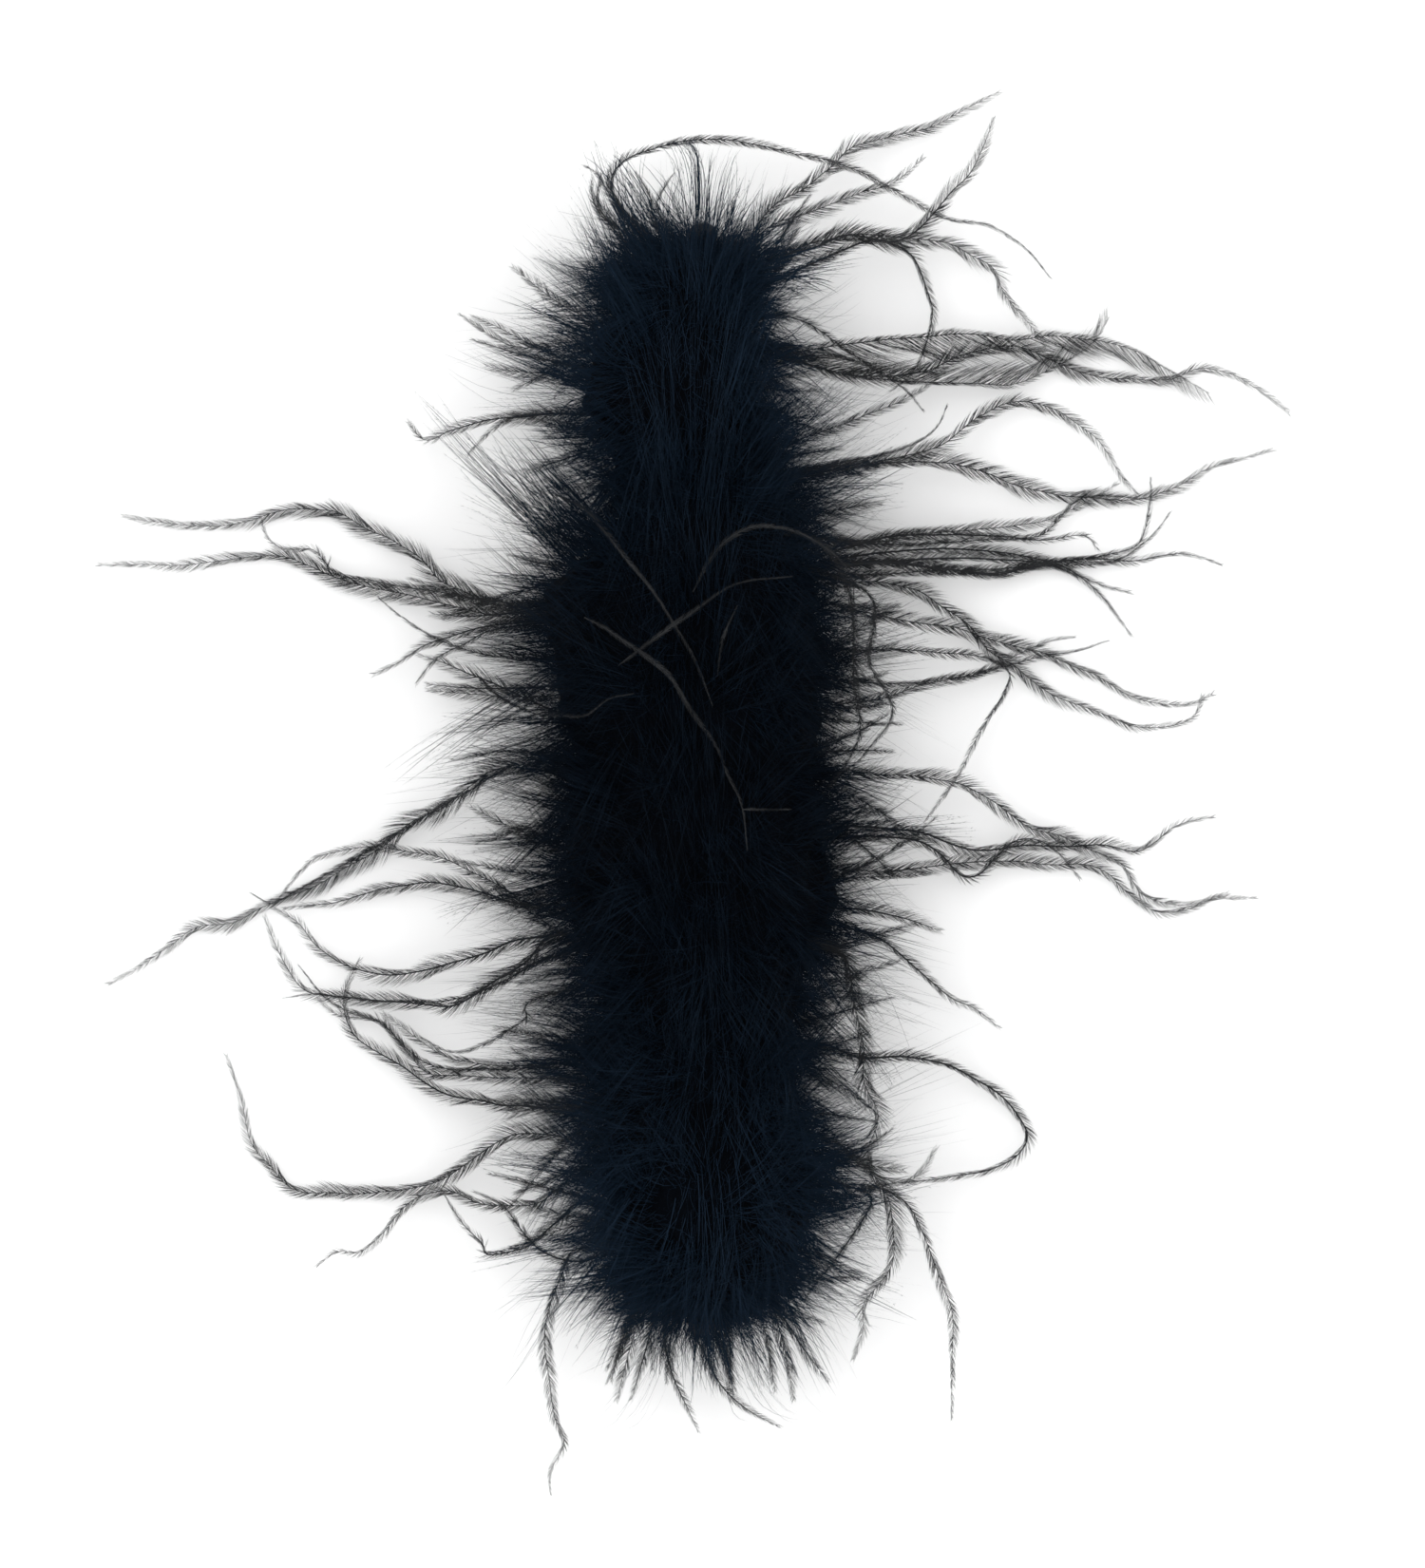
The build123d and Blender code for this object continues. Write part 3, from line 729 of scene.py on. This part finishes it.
# %% Loose flues beside them
loose_flues = [
    (7, 2.0, "out", [(4, 98), (12, 113), (23, 118), (33, 122), (39, 124), (43, 127), (46, 130)]),
    (7, 1.2, "stout", [(6, 98), (22, 107), (34, 112), (39, 112), (44, 109), (47, 102), (48, 97), (46, 89),
        (43, 84), (39, 81)]),
    (7, 0.8, "out", [(4, 93), (14, 96), (21, 95), (26, 92), (33, 87), (41, 82), (46, 77)]),
    (7, (5.0, 1.0), "out", [(8, 90), (30, 84), (46, 83), (56, 83), (65, 83), (73, 86), (78, 89), (82, 92),
        (85, 97)]),
    (7, 1.2, "stout", [(-5, 100), (-12, 110), (-17, 114), (-21, 117), (-23, 121), (-23, 125)]),
    (7, 1.2, "stout", [(-4, 101), (-13, 114), (-16, 117), (-18, 121), (-20, 124), (-19, 128)]),
    (7, 1.4, "stout", [(-4, 99), (-11, 107), (-17, 112), (-20, 116), (-22, 120), (-21, 126)]),
    (7, 1.2, "stout", [(-2, 100), (-10, 111), (-15, 116), (-19, 121), (-22, 126), (-25, 128)]),
    (7, 0.8, "stout", [(-3, 104), (-10, 116), (-11, 121), (-14, 126)]),
    (7, 0.8, "out", [(-2, 104), (-9, 117), (-9, 121), (-6, 126)]),
    (6, 0.8, "out", [(10, 62), (30, 66), (44, 70), (49, 74), (51, 78)]),
    (6, 1.4, "out", [(5, 66), (21, 71), (32, 75), (43, 80), (49, 84)]),
    (6, 1.8, "stout", [(-6, 74), (-28, 76), (-44, 75), (-52, 73), (-58, 71), (-62, 75)]),
    (6, 1.0, "out", [(-12, 76), (-36, 76), (-41, 75), (-45, 72), (-49, 68)]),
    (7, 1.6, "out", [(-8, 88), (-25, 90), (-38, 90), (-45, 93), (-51, 97)]),
    (6, 1.6, "out", [(8, 54), (24, 50), (36, 49), (43, 51), (56, 52), (64, 53), (71, 54), (78, 57),
        (84, 60), (87, 62)]),
    (6, 0.9, "out", [(10, 52), (35, 49), (56, 50), (70, 51), (75, 55), (80, 59), (92, 59)]),
    (5, 1.5, "stout", [(7, 43), (29, 48), (43, 51), (61, 51), (71, 50), (80, 51), (83, 48)]),
    (5, 1.3, "stout", [(7, 40), (33, 45), (50, 44), (61, 43), (70, 45), (78, 46), (85, 47), (91, 49),
        (93, 53), (94, 59), (94, 63)]),
    (5, 1.0, "out", [(20, 42), (60, 44), (78, 45), (87, 46), (92, 49), (96, 53), (98, 56)]),
    (5, 1.4, "stout", [(15, 44), (50, 46), (64, 46), (74, 45), (80, 42), (84, 38), (87, 34), (90, 30)]),
    (5, 1.4, "out", [(6, 20), (20, 16), (34, 16), (47, 20), (57, 22), (64, 25), (68, 27), (73, 29),
        (78, 30)]),
    (5, 1.0, "out", [(15, 22), (40, 20), (57, 22), (64, 24), (71, 26), (78, 27), (85, 29)]),
    (5, 1.0, "out", [(8, 26), (35, 27), (56, 26), (64, 23), (63, 18), (60, 13), (57, 8), (54, 2), (50, -4),
        (46, -9)]),
    (5, 1.2, "out", [(-10, 33), (-30, 34), (-60, 40), (-77, 43), (-79, 45), (-82, 48), (-87, 48), (-91, 50),
        (-93, 55)]),
    (5, 1.8, "stout", [(-7, 33), (-30, 33), (-44, 32), (-52, 30), (-58, 28), (-63, 25), (-69, 22)]),
    (5, 1.3, "stout", [(-7, 31), (-30, 33), (-44, 31), (-50, 28), (-56, 25), (-60, 20)]),
    (5, 0.8, "out", [(-10, 24), (-30, 25), (-45, 26), (-57, 30), (-63, 34), (-68, 38)]),
    (4, 1.3, "stout", [(7, -10), (22, -12), (36, -12), (45, -13), (50, -16), (54, -20), (58, -20),
        (62, -16), (66, -13), (71, -13), (75, -16), (79, -21)]),
    (4, 1.6, "out", [(7, -14), (30, -19), (50, -18), (64, -17), (73, -18), (80, -18), (85, -20), (88, -23),
        (92, -26), (96, -28), (103, -27), (108, -25), (116, -25)]),
    (4, 0.7, "out", [(-40, 3), (-55, -6), (-74, -17), (-88, -25), (-91, -26), (-95, -24)]),
    (4, 1.3, "out", [(-6, -14), (-20, -21), (-37, -24), (-43, -22), (-49, -19), (-56, -16), (-63, -15),
        (-70, -14), (-80, -16), (-85, -20), (-89, -25)]),
    (3, 1.8, "stout", [(-6, -24), (-22, -26), (-38, -26), (-45, -24), (-53, -22), (-62, -22), (-70, -24),
        (-78, -26), (-88, -27)]),
    (3, 0.7, "out", [(-10, -38), (-35, -46), (-37, -50), (-45, -55), (-52, -57), (-59, -54)]),
    (3, 0.6, "out", [(-30, -36), (-52, -46), (-74, -46), (-81, -45), (-88, -46)]),
    (2, 2.0, "stout", [(-7, -66), (-25, -68), (-40, -68), (-46, -67), (-53, -66), (-59, -63), (-65, -59),
        (-72, -55), (-75, -50), (-75, -44), (-72, -38)]),
    (2, 1.8, "out", [(-7, -56), (-23, -57), (-30, -59), (-41, -60), (-50, -59), (-56, -57), (-62, -53),
        (-67, -49)]),
    (2, 0.7, "out", [(-30, -60), (-56, -60), (-68, -51), (-78, -47), (-85, -39)]),
    (2, 3.0, "out", [(-12, -64), (-28, -67), (-36, -69), (-41, -70)]),
    (2, 2.4, "out", [(-12, -66), (-26, -69), (-34, -67), (-42, -67)]),
    (1, 1.0, "stout", [(10, -80), (28, -84), (35, -87), (33, -92), (28, -99), (23, -105), (21, -108)]),
    (1, 1.2, "stout", [(-6, -90), (-25, -88), (-29, -91), (-34, -95), (-38, -98), (-45, -99), (-46, -97),
        (-50, -93), (-54, -87)]),
    (1, 1.2, "stout", [(-7, -96), (-20, -98), (-24, -100), (-29, -100), (-34, -98), (-38, -94), (-42, -89),
        (-48, -86)]),
    (5, 0.8, "edge", [(12, 51), (22, 50), (27, 45), (30, 38), (31, 31), (31, 21), (32, 14), (32, 8),
        (28, 1), (24, -4), (18, -11)]),
    (5, 0.7, "edge", [(20, 44), (34, 38), (35, 31), (34, 24), (39, 14), (33, 5), (28, 1)]),
    (3, 1.9, "edge", [(14, -34), (28, -35), (31, -46), (33, -55), (33, -62), (36, -69), (34, -76),
        (35, -81), (41, -83), (45, -81), (48, -76)]),
    (2, 2.0, "edge", [(10, -70), (26, -74), (31, -77), (35, -81), (38, -86), (39, -92), (39, -99),
        (36, -104), (33, -108), (33, -113), (31, -119)]),
    (5, 0.55, "over", [(-30, 58), (-23, 54), (-16, 45), (-10, 38), (-5, 30), (-1, 23), (2, 15)]),
    (5, 0.5, "over", [(-17, 23), (-10, 28), (-3, 33), (4, 38), (9, 40), (18, 41)]),
    (4, 0.55, "over", [(-24, 33), (-19, 30), (-13, 26), (-7, 21), (-3, 15), (2, 8), (5, 1), (8, -6),
        (9, -14)]),
    (5, 0.5, "over", [(-2, 38), (2, 45), (6, 49), (11, 51), (19, 50), (25, 47), (30, 42), (31, 36)]),
    (4, 0.5, "over", [(-47, 22), (-42, 17), (-36, 14), (-30, 13), (-24, 13), (-19, 16), (-14, 17)]),
    (5, 0.4, "over", [(7, 35), (4, 28), (3, 21)]),
    (4, 0.4, "over", [(8, -6), (18, -6)]),
]

# %% Make the flues
for seed, (name, (body, width, route)) in enumerate(tied_flues.items()):
    kind = "stout" if name in stout_flues else "out"
    piece = mesh_piece(f"flue_{name}", flue_parts(route, width, kind, 500 + seed), flue_finish)
    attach(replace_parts(piece, f"ostrich_{name}"), f"segment_{body}")
for body in range(1, SEGMENTS + 1):
    parts = []
    for seed, (owner, width, kind, route) in enumerate(loose_flues):
        if owner == body:
            parts += flue_parts(route, width, kind, 700 + seed)
    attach(mesh_piece(f"loose_flues_{body}", parts, flue_finish), f"segment_{body}")
print(len(tied_flues), "tied flues and", len(loose_flues), "loose ones")

# %% [markdown]
# ## Short flues in the fringe
# Among the soft down there are short and broken flues, which show as darker, hairy locks. There are too
# many to set by hand, so each gets a random root in the fluff of its segment and a slightly bent way out,
# as far as the wisps go. Those of the two end segments' tips point out past the end.

# %% Short flues in the fringe
SIDE_FLUES = 11
END_FLUES = {1: (16, (22, 33)), SEGMENTS: (8, (14, 22))}
SIDE_ROOT_DEPTH, END_ROOT_DEPTH = 9, 16
LOCK_WIDTHS = 0.9, 2.0
LOCK_SHARES = np.array([0, 0.35, 0.7, 1])


def side_route(rng, body):
    """From inside the dense fluff out sideways, in millimetres."""
    side = rng.choice([-1, 1])
    y = (segment_middle(body) + rng.uniform(-0.5, 0.5) * PITCH) / MM
    dense = by_side(side, y * MM, LEFT_REACH, RIGHT_REACH) / MM
    past = by_side(side, y * MM, LEFT_WISPS, RIGHT_WISPS) / MM * rng.uniform(0.5, 0.95)
    lean, bend = rng.normal(0, 0.4), rng.normal(0, 5)
    x = side * (dense - SIDE_ROOT_DEPTH + (past + SIDE_ROOT_DEPTH) * LOCK_SHARES)
    return np.stack([x, y + lean * past * LOCK_SHARES + bend * LOCK_SHARES ** 2], -1)


def end_route(rng, body, lengths):
    """From inside the dense fluff out past the end of the boa, in millimetres."""
    end = 1 if body == SEGMENTS else -1
    x, length, bend = rng.uniform(-21, 17), rng.uniform(*lengths), rng.normal(0, 4)
    y = end * (HALF_BOA / MM - END_ROOT_DEPTH + length * LOCK_SHARES)
    return np.stack([x * (0.7 + 0.7 * LOCK_SHARES) + bend * LOCK_SHARES ** 2, y], -1)


for body in range(1, SEGMENTS + 1):
    rng = np.random.default_rng(900 + body)
    routes = [side_route(rng, body) for _ in range(SIDE_FLUES)]
    if body in END_FLUES:
        count, lengths = END_FLUES[body]
        routes += [end_route(rng, body, lengths) for _ in range(count)]
    parts = []
    for seed, route in enumerate(routes):
        kind = "out" if seed % 3 else "stout"
        parts += flue_parts(route, rng.uniform(*LOCK_WIDTHS), kind, 1000 * body + seed)
    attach(mesh_piece(f"short_flues_{body}", parts, flue_finish), f"segment_{body}")
at_ends = sum(count for count, _ in END_FLUES.values())
print("short flues:", SIDE_FLUES, "a segment and", at_ends, "at the ends")

# %% [markdown]
# ## The cord inside
# Under the down the cord shows only where the fluff parts. The imported plies stop a little short of each
# joint, which would open a gap in a bend, so here each ply and the binding thread run on from the middle of
# one segment to the middle of the next.

# %% The cord inside
RINGS_A_TURN = 14


def cord_strand(low, high, radius, offset, turns, phase, handed, sides):
    """A strand wound round the cord's axis from low to high."""
    y = np.linspace(low, high, max(int((high - low) / PITCH * turns * RINGS_A_TURN), 8))
    angle = handed * 2 * math.pi * turns * y / PITCH + phase
    line = np.stack([offset * np.cos(angle), y, CORE_HEIGHT + offset * np.sin(angle)], -1)
    return tube(line, np.full(len(y), radius), sides)


core_low, core_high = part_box("core_ply_a_4")
CORE_RADIUS = (core_high.x - core_low.x) / 2
PLY_RADIUS = CORE_RADIUS * 0.48
THREAD_RADIUS = 0.2 * MM
ply_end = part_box(f"core_ply_a_{SEGMENTS}")[1].y
stops = [-ply_end] + [segment_middle(k) for k in range(1, SEGMENTS + 1)] + [ply_end]
strands = {
    "core_ply_a": (PLY_RADIUS, CORE_RADIUS - PLY_RADIUS, 3, 0.0, 1, 10, cotton_finish, "core_cord"),
    "core_ply_b": (PLY_RADIUS, CORE_RADIUS - PLY_RADIUS, 3, math.pi, 1, 10, cotton_finish, "core_cord"),
    "binding_thread": (THREAD_RADIUS, CORE_RADIUS + THREAD_RADIUS, 6, 0.0, -1, 6, thread_finish, "thread"),
}
for name, (radius, offset, turns, phase, handed, sides, material, slot) in strands.items():
    for span, (low, high) in enumerate(zip(stops, stops[1:])):
        strand = cord_strand(low, high, radius, offset, turns, phase, handed, sides)
        piece = mesh_piece(f"{name}_span_{span}", [strand], material)
        if 0 < span < SEGMENTS:
            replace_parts(piece, f"{name}_{span}", f"{name}_{span + 1}")
            f"segment_{span + 1}"
            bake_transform(piece)
        else:
            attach(piece, f"segment_{max(span, 1)}")
for end in ("bottom", "top"):
    for part, finish in (("whipping", thread_finish), ("knot", cotton_finish)):
        finishes = frame["nodes"][f"{part}_{end}"].data.materials
        finishes.clear()
        finishes.append(finish)
print("cord spans:", len(stops) - 1)

# %% [markdown]
# ## Table, light and camera
# The boa lies on a white sheet under soft light from all around, so the table stays white and only a faint
# shadow shows beside each flue. The camera looks straight down, with +Y up in the picture.

# %% Table
def table_material():
    material, tree, shader, place = new_material("white_table")
    tint = blend_colour(noise(place, 0.4, detail=1.0), (0.94, 0.94, 0.94, 1), (0.96, 0.96, 0.96, 1))
    tree.links.new(tint.socket, shader.inputs["Base Color"])
    shader.inputs["Roughness"].default_value = 0.9
    shader.inputs["Specular IOR Level"].default_value = 0.1
    return material


bpy.ops.mesh.primitive_plane_add(size=6, location=(0, 0, 0))
table = bpy.context.object
table.name = "white_table"
table.data.materials.append(table_material())

# %% Light
LIGHT_ALL_ROUND = 1.10
scene = bpy.context.scene
scene.world = bpy.data.worlds.new("soft_studio")
scene.world.use_nodes = True
background = scene.world.node_tree.nodes["Background"]
background.inputs["Color"].default_value = (1, 1, 1, 1)
background.inputs["Strength"].default_value = LIGHT_ALL_ROUND
scene.view_settings.view_transform = "Standard"


def soft_box(name, place, size, power):
    """A square area light at a place, turned towards the middle of the boa."""
    light = bpy.data.lights.new(name, "AREA")
    light.shape = "SQUARE"
    light.size = size
    light.energy = power
    lamp = bpy.data.objects.new(name, light)
    lamp.location = place
    lamp.rotation_euler = (-lamp.location).to_track_quat("-Z", "Y").to_euler()
    scene.collection.objects.link(lamp)


soft_box("overhead_soft_box", place=(-0.5, 0.5, 1.6), size=1.6, power=9)
soft_box("side_soft_box", place=(1.4, -0.6, 0.9), size=1.0, power=3)

# %% Camera
CAMERA_HEIGHT = 1.25
FRAME_HEIGHT = 0.330
SENSOR_HEIGHT = 24
camera_data = bpy.data.cameras.new("camera")
camera_data.sensor_fit = "VERTICAL"
camera_data.sensor_height = SENSOR_HEIGHT
camera_data.lens = SENSOR_HEIGHT * CAMERA_HEIGHT / FRAME_HEIGHT
camera = bpy.data.objects.new("camera", camera_data)
camera.location = (2 * MM, -1 * MM, CAMERA_HEIGHT)
scene.collection.objects.link(camera)
scene.camera = camera
